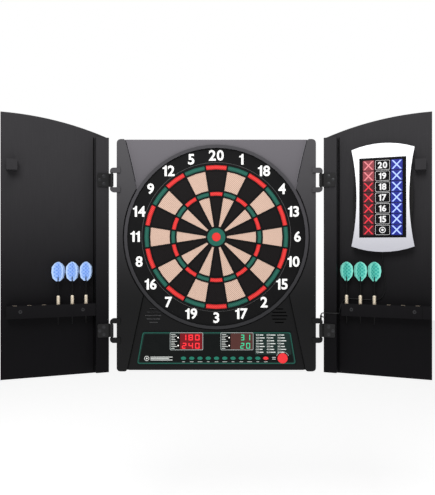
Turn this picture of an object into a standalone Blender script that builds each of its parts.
"""An electronic dartboard with two cabinet doors, as an assembly of separate solids.

Frame: metres, +Z up. The wall is the plane Y = 0 and the board faces -Y. The origin is on the back of the
rear cover, straight behind the bull. Each door hangs from two moulded ears on the housing's sides and is
drawn half folded, DOOR_TILT short of flat. Inside a door, a place is given as (t, d, z): t runs from the
door's hinge edge to its free edge, and d runs from the face of the stile back towards the door panel.
"""

import math

import bmesh
import bpy
from mathutils import Matrix, Vector

# ---- Driving dimensions ---------------------------------------------------------------------------------
GAP = 0.0003  # clearance between pieces that rest on each other
ROUND = 60  # sides of the large circles

# Housing, measured from the bull
HOUSING_HALF_W = 0.2355
HOUSING_TOP = 0.2315
HOUSING_BOTTOM = -0.3158
WALL = 0.003
FIELD_Y = -0.050  # front of the housing's plain field
RAIL_Y = -0.058  # front of the side rails
LIP_Y = -0.054  # front of the round lip about the target
CONSOLE_Y = -0.0525  # front of the console under the target
PANEL_Y = -0.054  # front of the printed control panel
COVER_T = 0.003
LIP_INNER_R = 0.2116
LIP_OUTER_R = 0.219
RAIL_ARC_R = 0.2215

# Target: the radii are the middles of the web's rings
RIM_R = 0.1730
DOUBLE_R = 0.1588
TRIPLE_OUT_R = 0.1092
TRIPLE_IN_R = 0.0963
HUB_R = 0.0234
BULL_EYE_R = 0.0102
WEB_T = 0.0030  # thickness of the web's ribs and rings
SEGMENT_GAP = 0.0004  # from a segment to the web beside it
WEB_Y = -0.0515
WEB_BACK_Y = -0.0413
SEGMENT_Y = -0.0508
PLATE_Y = -0.041  # front of the plate that joins a number's four segments
PLATE_T = 0.002
LEG_BACK_Y = -0.0358
MAT_Y = -0.034
MAT_T = 0.006
MAT_R = 0.176
NUMBERS = (20, 1, 18, 4, 13, 6, 10, 15, 2, 17, 3, 19, 7, 16, 8, 11, 14, 9, 12, 5)
SECTOR = math.radians(360 / len(NUMBERS))

# Control panel
KEY_Z = -0.2875
KEY_FIRST_X = -0.0778
KEY_PITCH = 0.01957
KEY_COUNT = 10
KEY_HALF = (0.0065, 0.0040)
POWER_KEY_X = 0.1172
PLAYER_X = 0.1571
PLAYER_R = 0.0122
KEY_FRONT_Y = -0.0562
KEY_CLEARANCE = 0.0004
KEY_FLANGE = 0.0015
KEY_CHAMFER = 0.0008
WINDOWS = ((-0.0865, -0.0325), (0.0380, 0.0860))  # left and right edges of the two display windows
WINDOW_Z = (-0.2675, -0.2275)
GRILLE_X = 0.150
GRILLE = ((-0.171, 0.142, 0.159), (-0.179, 0.133, 0.166), (-0.187, 0.131, 0.169),
          (-0.195, 0.133, 0.166), (-0.203, 0.139, 0.160))  # height, inner end and outer end of each slot
SLOT_H = 0.0026

# Hinges
AXIS_X = 0.2475
AXIS_Y = -0.056
EAR_ZS = (0.1346, -0.2214)
EAR_HALF_H = 0.0289
EAR_SLOT_HALF_H = 0.0172
EAR_DEPTH = 0.010
EAR_ROOT_X = 0.2265  # where the ears start, on the front of the rails
EAR_OUT = 0.0034  # how far the ears reach past the hinge axis
PIN_R = 0.00295
KNUCKLE_R = (0.00325, 0.0053)
KNUCKLE_HALF_H = 0.015
LEAF_HALF_H = 0.016
LEAF_T = 0.002
LEAF_REACH = 0.027

# Doors
DOOR_TILT = math.radians(21)
EDGE_FROM_AXIS = 0.0056  # from the hinge axis to the door's hinge edge, along t
FACE_FROM_AXIS = 0.006  # from the hinge axis back to the stile's face, along d
DOOR_W = 0.2400
DOOR_BOTTOM = -0.3262
DOOR_SIDE_TOP = 0.2412
DOOR_PEAK = 0.2838
STILE_Z = (-0.321, 0.2355)
STILE_W = 0.030
STILE_D = 0.030
DOOR_T = 0.009
CATCH = ((0.2042, 0.2275), (0.1505, 0.175), 0.022)  # along t, along z, and how far it stands off the panel
RACK_T = {"left": (0.0304, 0.2280), "right": (0.041, 0.2390)}
RACK_Z = (-0.1855, -0.157)
RACK_FRONT_D = 0.002
HOLE_R = 0.0037
HOLE_D = 0.012
HOLE_FIRST_T = 0.0518
HOLE_PITCH = 0.0316
HOLE_COUNT = 6

# Darts, from the tip up; heights above the rack's top
DART_COUNT = 3
DART_PROFILE = ((0.0, -0.0465), (0.0011, -0.0455), (0.0016, -0.0255), (0.0031, -0.0240), (0.0031, 0.0),
                (0.0039, 0.0010), (0.0039, 0.0185), (0.0022, 0.0205), (0.0021, 0.0640), (0.0, 0.0650))
FLIGHT_T = 0.0008
FLIGHT_LIFT = 0.0003  # one wing stands this much higher than the one it crosses
FLIGHT_TURN = math.radians(30)
FLIGHT = {"blue": ((0.0062, 0.0540), (0.0150, 0.0610), (0.0185, 0.0745), (0.0172, 0.0870), (0.0105, 0.0945),
                   (0.0030, 0.0985)),
          "green": ((0.0052, 0.0540), (0.0160, 0.0650), (0.0187, 0.0770), (0.0168, 0.0885), (0.0105, 0.0950),
                    (0.0030, 0.0985))}

# Scoreboard on the right door, about its own centre
SCORE_T = 0.1334
SCORE_Z = 0.090
BEZEL_HALF_W = (0.0695, 0.0580)  # at the corners and at the waist
BEZEL_HALF_H = (0.1125, 0.1250)  # at the corners and at the crown
BEZEL_D = (0.006, 0.016)
SCREEN_HALF = (0.0520, 0.0922)
SCREEN_D = 0.0085
SHELL_HALF_W = (0.0536, 0.0670)  # at the ends and at the middle
SHELL_HALF_H = 0.100
SHELL_D = (0.0163, 0.0297)
CABLE_R = 0.0013
GLAND_R = 0.0028
GLAND_H = 0.006
LOOP_R = 0.0050
LOOP_Z = -0.1849
# The cable's route on the door, as (t, d, z) from its gland to the loop's top
CABLE_ROUTE = ((0.1312, 0.0240, -0.0168), (0.1312, 0.0243, -0.0300), (0.1315, 0.0262, -0.0450),
               (0.1327, 0.0280, -0.0600), (0.1350, 0.0283, -0.0800), (0.1373, 0.0283, -0.1000),
               (0.1380, 0.0283, -0.1170), (0.1355, 0.0283, -0.1320), (0.1290, 0.0282, -0.1425),
               (0.1190, 0.0282, -0.1470), (0.1000, 0.0282, -0.1480), (0.0800, 0.0282, -0.1475),
               (0.0620, 0.0282, -0.1470), (0.0500, 0.0280, -0.1478), (0.0415, 0.0270, -0.1530),
               (0.0368, 0.0245, -0.1620), (0.0356, 0.0195, -0.1700), (0.0354, 0.0130, -0.1755),
               (0.0355, 0.0065, -0.1788), (0.0350, 0.0010, -0.1798), (0.0318, -0.0021, -0.1799),
               (0.0260, -0.0021, -0.1799), (0.0180, -0.0018, -0.1799), (0.0080, -0.0017, -0.1799),
               (0.0020, -0.0017, -0.1799))



# ---- Scene and materials --------------------------------------------------------------------------------
def clear_scene():
    for old in list(bpy.data.objects):
        bpy.data.objects.remove(old)


def material(name, colour, roughness=0.5, metallic=0.0):
    made = bpy.data.materials.new(name)
    made.use_nodes = True
    shader = made.node_tree.nodes["Principled BSDF"]
    shader.inputs["Base Color"].default_value = (*colour, 1.0)
    shader.inputs["Roughness"].default_value = roughness
    shader.inputs["Metallic"].default_value = metallic
    made.diffuse_color = (*colour, 1.0)
    return made


# ---- Outlines in the XZ plane ---------------------------------------------------------------------------
def arc(centre, radius, start, end, steps):
    """Points on an arc, from start to end in radians, both ends included."""
    angles = [start + (end - start) * i / steps for i in range(steps + 1)]
    return [(centre[0] + radius * math.cos(a), centre[1] + radius * math.sin(a)) for a in angles]


def circle(centre, radius, steps):
    return arc(centre, radius, 0, 2 * math.pi, steps)[:-1]


def ellipse(centre, half, steps):
    return [(centre[0] + half[0] * x, centre[1] + half[1] * z) for x, z in circle((0, 0), 1.0, steps)]


def rectangle(left, right, bottom, top):
    return [(left, bottom), (right, bottom), (right, top), (left, top)]


def rounded_rectangle(left, right, bottom, top, radius, steps=4):
    quarter = math.pi / 2
    corners = ((right - radius, top - radius, 0), (left + radius, top - radius, quarter),
               (left + radius, bottom + radius, 2 * quarter), (right - radius, bottom + radius, 3 * quarter))
    return [p for x, z, a in corners for p in arc((x, z), radius, a, a + quarter, steps)]


def mirrored(outline):
    return [(-x, z) for x, z in reversed(outline)]


def sector_outline(middle, inner, outer, side_gap, steps=2):
    """A number's share of a ring, about the angle middle, with its straight sides side_gap from the radii."""
    half_in = SECTOR / 2 - math.asin(side_gap / inner)
    half_out = SECTOR / 2 - math.asin(side_gap / outer)
    return (arc((0, 0), outer, middle - half_out, middle + half_out, steps)
            + arc((0, 0), inner, middle + half_in, middle - half_in, steps))


# ---- Solids ---------------------------------------------------------------------------------------------
def stack(levels):
    """A solid through outlines in XZ that have the same number of points, each with its Y."""
    bm = bmesh.new()
    rings = [[bm.verts.new((x, y, z)) for x, z in outline] for outline, y in levels]
    bm.faces.new(rings[0])
    bm.faces.new(reversed(rings[-1]))
    for near, far in zip(rings, rings[1:]):
        for i in range(len(near)):
            j = (i + 1) % len(near)
            bm.faces.new((near[j], near[i], far[i], far[j]))
    bmesh.ops.recalc_face_normals(bm, faces=bm.faces[:])
    return bm


def prism(outline, front, back):
    """The outline in XZ, run straight from Y = front to Y = back."""
    return stack(((outline, front), (outline, back)))


def lathe(profile, steps, centre, axis="Y"):
    """Turns (radius, height) points about an axis through centre. Without ends at radius 0 it closes on itself."""
    bm = bmesh.new()
    rings = []
    for radius, height in profile:
        count = steps if radius > 0 else 1
        ring = []
        for i in range(count):
            a = 2 * math.pi * i / steps
            across, along = radius * math.cos(a), radius * math.sin(a)
            local = (across, height, along) if axis == "Y" else (across, along, height)
            ring.append(bm.verts.new(Vector(centre) + Vector(local)))
        rings.append(ring)
    pairs = list(zip(rings, rings[1:]))
    if profile[0][0] > 0:
        pairs.append((rings[-1], rings[0]))
    for low, high in pairs:
        for i in range(steps):
            j = (i + 1) % steps
            if len(low) == 1:
                bm.faces.new((low[0], high[j], high[i]))
            elif len(high) == 1:
                bm.faces.new((low[i], low[j], high[0]))
            else:
                bm.faces.new((low[i], low[j], high[j], high[i]))
    bmesh.ops.recalc_face_normals(bm, faces=bm.faces[:])
    return bm


def rod(radius, start, end, steps, centre, axis="Y"):
    """A plain cylinder between two heights along its axis."""
    return lathe(((0, start), (radius, start), (radius, end), (0, end)), steps, centre, axis)


def tube_ring(inner, outer, front, back, steps, centre=(0, 0, 0)):
    return lathe(((inner, front), (outer, front), (outer, back), (inner, back)), steps, centre)


def together(parts):
    """Several solids that stand clear of each other, in one mesh."""
    whole = bmesh.new()
    for part in parts:
        mesh = bpy.data.meshes.new("part")
        part.to_mesh(mesh)
        part.free()
        whole.from_mesh(mesh)
        bpy.data.meshes.remove(mesh)
    return whole


def add(name, bm, look=None, parent=None, smooth=False):
    mesh = bpy.data.meshes.new(name)
    bm.to_mesh(mesh)
    bm.free()
    if smooth:
        mesh.shade_smooth()
        mesh.set_sharp_from_angle(angle=math.radians(35))
    made = bpy.data.objects.new(name, mesh)
    bpy.context.scene.collection.objects.link(made)
    made.parent = parent
    if look:
        mesh.materials.append(look)
    return made


def shape_with(target, bm, operation):
    """Joins bm to the target, or cuts it out of the target, with a Boolean modifier."""
    tool = add(f"tool_{target.name}_{len(target.modifiers)}", bm, parent=target.parent)
    tool.hide_render = True
    tool.display_type = "WIRE"
    step = target.modifiers.new(tool.name, "BOOLEAN")
    step.solver = "EXACT"
    step.operation = operation
    step.object = tool


def fuse(target, bm):
    shape_with(target, bm, "UNION")


def cut(target, bm):
    shape_with(target, bm, "DIFFERENCE")


# ---- Housing --------------------------------------------------------------------------------------------
def rail_outline():
    """The right-hand side rail: wide where it meets the target's lip, narrow at the top and the bottom."""
    top_corner = arc((0.2265, 0.2225), 0.009, 0, math.pi / 2, 3)
    inner_top = [(0.2165, 0.2315), (0.2072, 0.194), (0.1995, 0.161), (0.1930, 0.130)]
    beside_target = arc((0, 0), RAIL_ARC_R, math.radians(31), math.radians(-38.5), 14)
    foot = [(0.2108, -0.311)] + arc((0.2166, -0.3125), 0.0055, math.pi, 1.5 * math.pi, 3)
    outer_foot = arc((0.2275, -0.310), 0.008, 1.5 * math.pi, 2 * math.pi, 3)
    return top_corner + inner_top + beside_target + foot + outer_foot


def console_outline():
    """The panel under the target, a small groove away from both rails and from the lip."""
    under_target = arc((0, 0), RAIL_ARC_R, math.radians(-141), math.radians(-39), 20)
    return under_target + [(0.2092, -0.312), (0.2070, -0.3158), (-0.2070, -0.3158), (-0.2092, -0.312)]


def ear_arm(side, centre_z, up):
    """One arm of a hinge ear. Its outer corner is rounded."""
    outer, root = AXIS_X + EAR_OUT, EAR_ROOT_X
    near, far, radius = centre_z + up * EAR_SLOT_HALF_H, centre_z + up * EAR_HALF_H, 0.008
    bend = arc((outer - radius, far - up * radius), radius, 0, up * math.pi / 2, 4)
    outline = [(root, near), (outer, near)] + bend + [(root, far)]
    placed = [(side * x, z) for x, z in outline]
    return prism(placed, AXIS_Y - EAR_DEPTH / 2, AXIS_Y + EAR_DEPTH / 2)


def key_centres():
    return [KEY_FIRST_X + i * KEY_PITCH for i in range(KEY_COUNT)] + [POWER_KEY_X]


def key_cutters(front, back):
    half = tuple(h + KEY_CLEARANCE for h in KEY_HALF)
    keys = [prism(ellipse((x, KEY_Z), half, 12), front, back) for x in key_centres()]
    return keys + [prism(circle((PLAYER_X, KEY_Z), PLAYER_R + KEY_CLEARANCE, 16), front, back)]


def build_housing(look):
    back = -COVER_T - GAP
    body = rounded_rectangle(-HOUSING_HALF_W, HOUSING_HALF_W, HOUSING_BOTTOM, HOUSING_TOP, 0.009)
    inside = rounded_rectangle(-HOUSING_HALF_W + WALL, HOUSING_HALF_W - WALL,
                               HOUSING_BOTTOM + WALL, HOUSING_TOP - WALL, 0.006)
    housing = add("front_housing", prism(body, FIELD_Y, back), look)
    root = FIELD_Y + 0.0005
    lip = tube_ring(LIP_INNER_R - 0.002, LIP_OUTER_R, LIP_Y, root, ROUND)
    fuse(housing, together([lip, prism(console_outline(), CONSOLE_Y, root)]))
    rail = rail_outline()
    fuse(housing, together([prism(rail, RAIL_Y, root), prism(mirrored(rail), RAIL_Y, root)]))
    arms = [ear_arm(side, z, up) for side in (-1, 1) for z in EAR_ZS for up in (-1, 1)]
    fuse(housing, together(arms))
    pins = [rod(PIN_R, z - EAR_SLOT_HALF_H - 0.001, z + EAR_SLOT_HALF_H + 0.001, 12,
                (side * AXIS_X, AXIS_Y, 0), "Z") for side in (-1, 1) for z in EAR_ZS]
    grommet = rod(0.0022, EAR_ZS[1] + EAR_HALF_H - 0.005, LOOP_Z - 0.0008, 10, (AXIS_X, AXIS_Y, 0), "Z")
    fuse(housing, together(pins + [grommet]))
    cut(housing, prism(inside, FIELD_Y + WALL, 0.01))
    front, past = RAIL_Y - 0.01, FIELD_Y + WALL + 0.001
    holes = [prism(circle((0, 0), LIP_INNER_R, ROUND), front, past)] + key_cutters(front, past)
    notch = [(0.2138, 0.233), (0.2160, 0.2255), (0.2188, 0.233)]
    holes += [prism(outline, front, FIELD_Y + 0.0015) for outline in (notch, mirrored(notch))]
    holes += [prism(rectangle(*x, *WINDOW_Z), front, past) for x in WINDOWS]
    for z, inner, outer in GRILLE:
        for left, right in ((-outer, -inner), (inner, outer)):
            holes.append(prism(rectangle(left, right, z - SLOT_H / 2, z + SLOT_H / 2), front, past))
    cut(housing, together(holes))
    bosses = [rod(0.004, FIELD_Y + WALL - 0.0005, back - 0.0003, 8, (x, 0, z))
              for x in (-0.2235, 0.2235) for z in (0.2195, -0.045, -0.3035)]
    fuse(housing, together(bosses))
    return housing


def keyhole(x, z):
    """A round entry with a narrow neck above it, where a wall screw's head goes in and then hangs."""
    neck = [(x + 0.0027, z + 0.004), (x + 0.0027, z + 0.014), (x - 0.0027, z + 0.014), (x - 0.0027, z + 0.004)]
    lower = arc((x, z), 0.006, math.radians(127), math.radians(413), 14)
    return prism(lower + neck, -0.01, 0.01)


def build_rear_cover(look):
    body = rounded_rectangle(-HOUSING_HALF_W, HOUSING_HALF_W, HOUSING_BOTTOM, HOUSING_TOP, 0.009)
    cover = add("rear_cover", prism(body, -COVER_T, 0), look)
    mat_back, flange_back = MAT_Y + MAT_T + GAP, -0.0442 + GAP
    places = [(0.150, 30 + 60 * i, mat_back) for i in range(6)] + [(0.06, 90 + 120 * i, mat_back) for i in range(3)]
    places += [(0.197, 60 * i, flange_back) for i in range(6)]
    supports = []
    for radius, degrees, top in places:
        a = math.radians(degrees)
        supports.append(rod(0.0045, top, -COVER_T / 2, 8, (radius * math.cos(a), 0, radius * math.sin(a))))
    fuse(cover, together(supports))
    cut(cover, together([keyhole(-0.100, 0.165), keyhole(0.100, 0.165)]))


# ---- Target ---------------------------------------------------------------------------------------------
def number_angle(index):
    return math.pi / 2 - index * SECTOR


def bands():
    """(inner, outer) radius of the web's windows, from the double ring inwards."""
    edges = ((DOUBLE_R, RIM_R), (TRIPLE_OUT_R, DOUBLE_R), (TRIPLE_IN_R, TRIPLE_OUT_R), (HUB_R, TRIPLE_IN_R))
    return [(inner + WEB_T / 2, outer - WEB_T / 2) for inner, outer in edges]


def build_spider(look):
    """The number ring, the web and the flange that holds them behind the housing's lip, in one moulding."""
    ring_r, flange_r, plane_y, flange_y = LIP_INNER_R - 0.0006, 0.216, FIELD_Y, FIELD_Y + WALL + GAP
    profile = ((0, WEB_Y), (RIM_R + WEB_T, WEB_Y), (RIM_R + WEB_T, plane_y), (ring_r, plane_y),
               (ring_r, flange_y), (flange_r, flange_y), (flange_r, flange_y + 0.0025),
               (0.180, flange_y + 0.0025), (0.180, WEB_BACK_Y), (0, WEB_BACK_Y))
    spider = add("spider", lathe(profile, ROUND, (0, 0, 0)), look)
    windows = [prism(circle((0, 0), HUB_R - WEB_T / 2, 30), WEB_Y - 0.005, WEB_BACK_Y + 0.005)]
    for index in range(len(NUMBERS)):
        for inner, outer in bands():
            outline = sector_outline(number_angle(index), inner, outer, WEB_T / 2)
            windows.append(prism(outline, WEB_Y - 0.005, WEB_BACK_Y + 0.005))
    cut(spider, together(windows))


def build_segments(looks):
    """One solid for each number: its four segments on the plate that carries them."""
    for index, number in enumerate(NUMBERS):
        middle = number_angle(index)
        plate = sector_outline(middle, HUB_R + WEB_T / 2 - 0.0005, RIM_R - WEB_T / 2 + 0.0005, 0.0005)
        body = add(f"segment_{number:02d}", prism(plate, PLATE_Y, PLATE_Y + PLATE_T), looks[index % 2])
        pads = []
        for inner, outer in bands():
            gap = WEB_T / 2 + SEGMENT_GAP
            outline = sector_outline(middle, inner + SEGMENT_GAP, outer - SEGMENT_GAP, gap)
            pads.append(prism(outline, SEGMENT_Y, PLATE_Y + PLATE_T / 2))
        across, out = Vector((-math.sin(middle), math.cos(middle))), Vector((math.cos(middle), math.sin(middle)))
        leg = [out * r + across * side * 0.0016 for r, side in ((0.06, -1), (0.15, -1), (0.15, 1), (0.06, 1))]
        pads.append(prism([tuple(p) for p in leg], PLATE_Y + PLATE_T * 0.7, LEG_BACK_Y))
        fuse(body, together(pads))


def build_bull(outer_look, eye_look):
    ring_r = HUB_R - WEB_T / 2 - SEGMENT_GAP
    bore = BULL_EYE_R + SEGMENT_GAP
    profile = ((bore, SEGMENT_Y), (ring_r, SEGMENT_Y), (ring_r, PLATE_Y), (HUB_R - 0.0003, PLATE_Y),
               (HUB_R - 0.0003, PLATE_Y + 0.0017), (bore, PLATE_Y + 0.0017))
    add("bull_ring", lathe(profile, 30, (0, 0, 0)), outer_look)
    flange_y = -0.0373
    profile = ((0, SEGMENT_Y), (BULL_EYE_R, SEGMENT_Y), (BULL_EYE_R, flange_y), (0.016, flange_y),
               (0.016, LEG_BACK_Y), (0, LEG_BACK_Y))
    add("bull_eye", lathe(profile, 24, (0, 0, 0)), eye_look)


def build_switch_mat(look):
    add("switch_mat", rod(MAT_R, MAT_Y, MAT_Y + MAT_T, 40, (0, 0, 0)), look)


# ---- Console: panel, keys, board and speaker ------------------------------------------------------------
def build_control_panel(look):
    outline = ([(-0.1760, -0.2240), (-0.1880, -0.2990), (-0.1860, -0.3030)]
               + [(0.1885, -0.3030), (0.1905, -0.2990), (0.1775, -0.2240)])
    panel = add("control_panel", prism(outline, PANEL_Y, CONSOLE_Y - GAP), look)
    cut(panel, together(key_cutters(PANEL_Y - 0.01, CONSOLE_Y + 0.01)))


def key(name, centre, half, steps, look):
    """A key's cap, with a chamfer in front and a flange that keeps it behind the housing."""
    flange_y = FIELD_Y + WALL + GAP
    levels = ((-KEY_CHAMFER, KEY_FRONT_Y), (0, KEY_FRONT_Y + KEY_CHAMFER), (0, flange_y),
              (KEY_FLANGE, flange_y), (KEY_FLANGE, flange_y + 0.0015))
    add(name, stack([(ellipse(centre, [h + grow for h in half], steps), y) for grow, y in levels]), look)


def build_keys(green, red):
    for i, x in enumerate(key_centres()):
        name, look = (f"key_{i + 1:02d}", green) if i < KEY_COUNT else ("power_key", red)
        key(name, (x, KEY_Z), KEY_HALF, 12, look)
    key("player_button", (PLAYER_X, KEY_Z), (PLAYER_R, PLAYER_R), 16, red)


def build_circuit_board(look):
    front = -0.043
    board = add("circuit_board", prism(rectangle(-0.150, 0.181, -0.303, -0.226), front, front + 0.0016), look)
    inset, depth = 0.0015, CONSOLE_Y + GAP
    low, high = WINDOW_Z
    displays = [prism(rectangle(left + inset, right - inset, low + inset, high - inset), depth, front + 0.0008)
                for left, right in WINDOWS]
    fuse(board, together(displays))


def build_speaker(look):
    profile = ((0, -0.0440), (0.012, -0.0455), (0.019, -0.0466), (0.022, -0.0466), (0.022, -0.0435),
               (0.013, -0.0370), (0.013, -0.0310), (0, -0.0310))
    add("speaker", lathe(profile, 24, (-GRILLE_X, 0, -0.187)), look)


# ---- Doors ----------------------------------------------------------------------------------------------
def pivot(side):
    """An empty on the hinge axis. A door's pieces are modelled for the door lying flat open."""
    empty = bpy.data.objects.new("left_door_axis" if side < 0 else "right_door_axis", None)
    bpy.context.scene.collection.objects.link(empty)
    empty.location = (side * AXIS_X, AXIS_Y, 0)
    empty.rotation_euler = (0, 0, -side * DOOR_TILT)
    return empty


def door_xy(side, t, d):
    return side * (t + EDGE_FROM_AXIS), d + FACE_FROM_AXIS


def door_prism(side, outline, near, far):
    """An outline of (t, z) points, run from depth near to depth far."""
    placed = [(door_xy(side, t, 0)[0], z) for t, z in outline]
    return prism(placed, near + FACE_FROM_AXIS, far + FACE_FROM_AXIS)


def door_panel_outline():
    """A flat board whose top is an arc, level at the free edge."""
    rise = DOOR_PEAK - DOOR_SIDE_TOP
    radius = (DOOR_W**2 + rise**2) / (2 * rise)
    reach = math.asin(DOOR_W / radius)
    top = arc((DOOR_W, DOOR_PEAK - radius), radius, math.pi / 2, math.pi / 2 + reach, 12)
    return [(0, DOOR_BOTTOM), (DOOR_W, DOOR_BOTTOM)] + top


def leaf(side, centre_z):
    """A hinge leaf: a plate on the stile and an open clip about the ear's pin."""
    inner, outer = KNUCKLE_R
    mouth = math.radians(50)
    start, end = math.pi + mouth, 3 * math.pi - mouth
    ring = arc((0, 0), outer, start, end, 16) + arc((0, 0), inner, end, start, 16)
    bm = bmesh.new()
    low, high = centre_z - KNUCKLE_HALF_H, centre_z + KNUCKLE_HALF_H
    near = [bm.verts.new((side * x, y, low)) for x, y in ring]
    far = [bm.verts.new((side * x, y, high)) for x, y in ring]
    bm.faces.new(near)
    bm.faces.new(reversed(far))
    for i in range(len(ring)):
        j = (i + 1) % len(ring)
        bm.faces.new((near[j], near[i], far[i], far[j]))
    bmesh.ops.recalc_face_normals(bm, faces=bm.faces[:])
    return bm


def build_hinge_leaf(name, side, centre_z, look, parent):
    body = add(name, leaf(side, centre_z), look, parent)
    reach, radius = LEAF_REACH + EDGE_FROM_AXIS, 0.003
    outline = rounded_rectangle(0.0012, reach, centre_z - LEAF_HALF_H, centre_z + LEAF_HALF_H, radius, 3)
    back = FACE_FROM_AXIS - GAP
    fuse(body, prism([(side * x, z) for x, z in outline], back - LEAF_T, back))


def hole_places():
    return [HOLE_FIRST_T + i * HOLE_PITCH for i in range(HOLE_COUNT)]


def build_door(side, name, looks, parent):
    panel = add(f"{name}_door_panel", door_prism(side, door_panel_outline(), STILE_D + GAP, STILE_D + DOOR_T),
                looks["door"], parent)
    (t0, t1), (z0, z1), stand = CATCH
    fuse(panel, door_prism(side, rectangle(t0, t1, z0, z1), STILE_D - stand, STILE_D + DOOR_T / 2))
    add(f"{name}_stile", door_prism(side, rectangle(0, STILE_W, *STILE_Z), 0, STILE_D),
        looks["door"], parent)
    rack = add(f"{name}_dart_rack", door_prism(side, rectangle(*RACK_T[name], *RACK_Z), RACK_FRONT_D, STILE_D),
               looks["door"], parent)
    drills = [rod(HOLE_R, RACK_Z[0] - 0.01, RACK_Z[1] + 0.01, 12, (*door_xy(side, t, HOLE_D), 0), "Z")
              for t in hole_places()]
    cut(rack, together(drills))
    for label, z in zip(("upper", "lower"), EAR_ZS):
        build_hinge_leaf(f"{name}_{label}_hinge_leaf", side, z, looks["hinge"], parent)


def build_darts(side, colour, look, parent):
    """Darts standing point down in the rack's first holes."""
    top = RACK_Z[1]
    for i, t in enumerate(hole_places()[:DART_COUNT]):
        x, y = door_xy(side, t, HOLE_D)
        dart = add(f"dart_{colour}_{i + 1}", lathe(DART_PROFILE, 8, (x, y, top), "Z"), look, parent)
        for turn, lift in ((FLIGHT_TURN, 0), (FLIGHT_TURN + math.pi / 2, FLIGHT_LIFT)):
            half = [(r, h + lift) for r, h in FLIGHT[colour]]
            wing = prism(half + [(-r, h) for r, h in reversed(half)], -FLIGHT_T / 2, FLIGHT_T / 2)
            wing.transform(Matrix.Translation((x, y, top)) @ Matrix.Rotation(-side * turn, 4, "Z"))
            fuse(dart, wing)


# ---- Scoreboard -----------------------------------------------------------------------------------------
def bulged(half_end, half_middle, half_height, steps):
    """One side of an outline, from bottom to top, whose width changes along a circular arc."""
    sag = half_middle - half_end
    radius = (half_height**2 + sag**2) / (2 * abs(sag))
    sign = 1 if sag > 0 else -1
    heights = [half_height * (2 * i / steps - 1) for i in range(steps + 1)]
    return [(half_middle - sign * (radius - math.sqrt(radius**2 - z**2)), z) for z in heights]


def bezel_outline():
    """Waisted sides, and a crown at the top and the bottom."""
    side = bulged(BEZEL_HALF_W[0], BEZEL_HALF_W[1], BEZEL_HALF_H[0], 10)
    crown = [(x, z) for z, x in bulged(BEZEL_HALF_H[0], BEZEL_HALF_H[1], BEZEL_HALF_W[0], 8)][1:-1]
    top = list(reversed(crown))
    return side + top + mirrored(side) + [(x, -z) for x, z in crown]


def shell_outline():
    side = bulged(SHELL_HALF_W[0], SHELL_HALF_W[1], SHELL_HALF_H, 8)
    return side + mirrored(side)


def on_score(outline):
    return [(SCORE_T + x, SCORE_Z + z) for x, z in outline]


def build_scoreboard(looks, parent):
    case = add("scoreboard_case", door_prism(1, on_score(shell_outline()), *SHELL_D), looks["dark"], parent)
    w, h = (s - GAP for s in SCREEN_HALF)
    fuse(case, door_prism(1, on_score(rectangle(-w, w, -h, h)), SCREEN_D, SHELL_D[0] + 0.001))
    t, d, z = CABLE_ROUTE[0]
    x, y = door_xy(1, t, d)
    fuse(case, rod(GLAND_R, z + GAP, z + GAP + GLAND_H + 0.004, 12, (x, y, 0), "Z"))
    bezel = add("scoreboard_bezel", door_prism(1, on_score(bezel_outline()), *BEZEL_D), looks["white"], parent)
    w, h = SCREEN_HALF
    cut(bezel, door_prism(1, on_score(rectangle(-w, w, -h, h)), BEZEL_D[0] - 0.01, BEZEL_D[1] + 0.01))


def loop_points():
    """One turn and a quarter in front of the stile's edge, ending on the hinge axis and pointing down it."""
    depths = ((0, 0.0043), (0.25, 0.0043), (0.5, 0.0043), (0.75, 0.0040), (1.0, 0.0014), (1.25, 0.0))
    points = []
    for (turn, depth), (next_turn, next_depth) in zip(depths, depths[1:]):
        for i in range(5):
            share = i / 5
            a = 2 * math.pi * (turn + share * (next_turn - turn)) + math.pi / 2
            u = LOOP_R + LOOP_R * math.cos(a)
            points.append((u, depth + share * (next_depth - depth), LOOP_Z + LOOP_R * math.sin(a)))
    return points + [(0.0, 0.0, LOOP_Z), (0.0, 0.0, LOOP_Z - 0.0004)]


def smooth_line(points, spacing):
    """Points about spacing apart on a Catmull-Rom curve through the given ones."""
    ends = [points[0] * 2 - points[1]] + points + [points[-1] * 2 - points[-2]]
    line = []
    for a, b, c, e in zip(ends, ends[1:], ends[2:], ends[3:]):
        steps = max(1, round((c - b).length / spacing))
        for i in range(steps):
            s = i / steps
            line.append(0.5 * (2 * b + (c - a) * s + (2 * a - 5 * b + 4 * c - e) * s**2
                               + (3 * b - a - 3 * c + e) * s**3))
    return line + [points[-1]]


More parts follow.
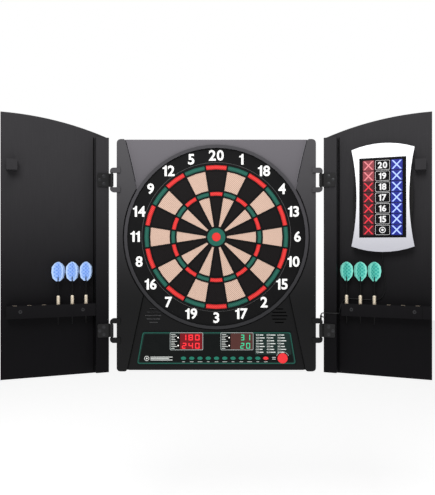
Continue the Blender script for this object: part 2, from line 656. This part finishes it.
def build_cable(look, parent):
    route = [Vector((*door_xy(1, t, d), z)) for t, d, z in CABLE_ROUTE]
    route += [Vector(p) for p in loop_points()[2:]]
    line = smooth_line(route, 0.009)
    curve = bpy.data.curves.new("scoreboard_cable", "CURVE")
    curve.dimensions = "3D"
    curve.bevel_depth = CABLE_R
    curve.bevel_resolution = 2
    curve.use_fill_caps = True
    spline = curve.splines.new("POLY")
    spline.points.add(len(line) - 1)
    for point, place in zip(spline.points, line):
        point.co = (*place, 1.0)
    cable = bpy.data.objects.new("scoreboard_cable", curve)
    bpy.context.scene.collection.objects.link(cable)
    cable.parent = parent
    curve.materials.append(look)


def main():
    clear_scene()
    black = material("housing_black", (0.035, 0.035, 0.038), 0.42)
    green = material("key_green", (0.0, 0.22, 0.13), 0.5)
    red = material("key_red", (0.75, 0.02, 0.03), 0.45)
    build_housing(black)
    build_rear_cover(black)
    build_spider(material("web_black", (0.015, 0.015, 0.016), 0.5))
    build_segments((material("segment_black", (0.02, 0.02, 0.02), 0.6),
                    material("segment_tan", (0.60, 0.40, 0.30), 0.6)))
    build_bull(green, red)
    build_switch_mat(material("rubber", (0.05, 0.05, 0.05), 0.8))
    build_control_panel(material("panel_film", (0.01, 0.02, 0.02), 0.35))
    build_keys(green, red)
    build_circuit_board(material("circuit_green", (0.02, 0.20, 0.08), 0.5))
    build_speaker(material("speaker_steel", (0.3, 0.3, 0.3), 0.4, 0.8))
    doors = {"door": material("door_black", (0.03, 0.03, 0.03), 0.5),
             "hinge": material("hinge_black", (0.02, 0.02, 0.02), 0.4)}
    left, right = pivot(-1), pivot(1)
    build_door(-1, "left", doors, left)
    build_door(1, "right", doors, right)
    build_darts(-1, "blue", material("flight_blue", (0.35, 0.55, 0.9), 0.4), left)
    build_darts(1, "green", material("flight_green", (0.1, 0.7, 0.6), 0.4), right)
    build_scoreboard({"dark": material("case_black", (0.02, 0.02, 0.02), 0.4),
                      "white": material("bezel_white", (0.85, 0.85, 0.87), 0.3)}, right)
    build_cable(material("cable_black", (0.01, 0.01, 0.01), 0.5), right)


main()
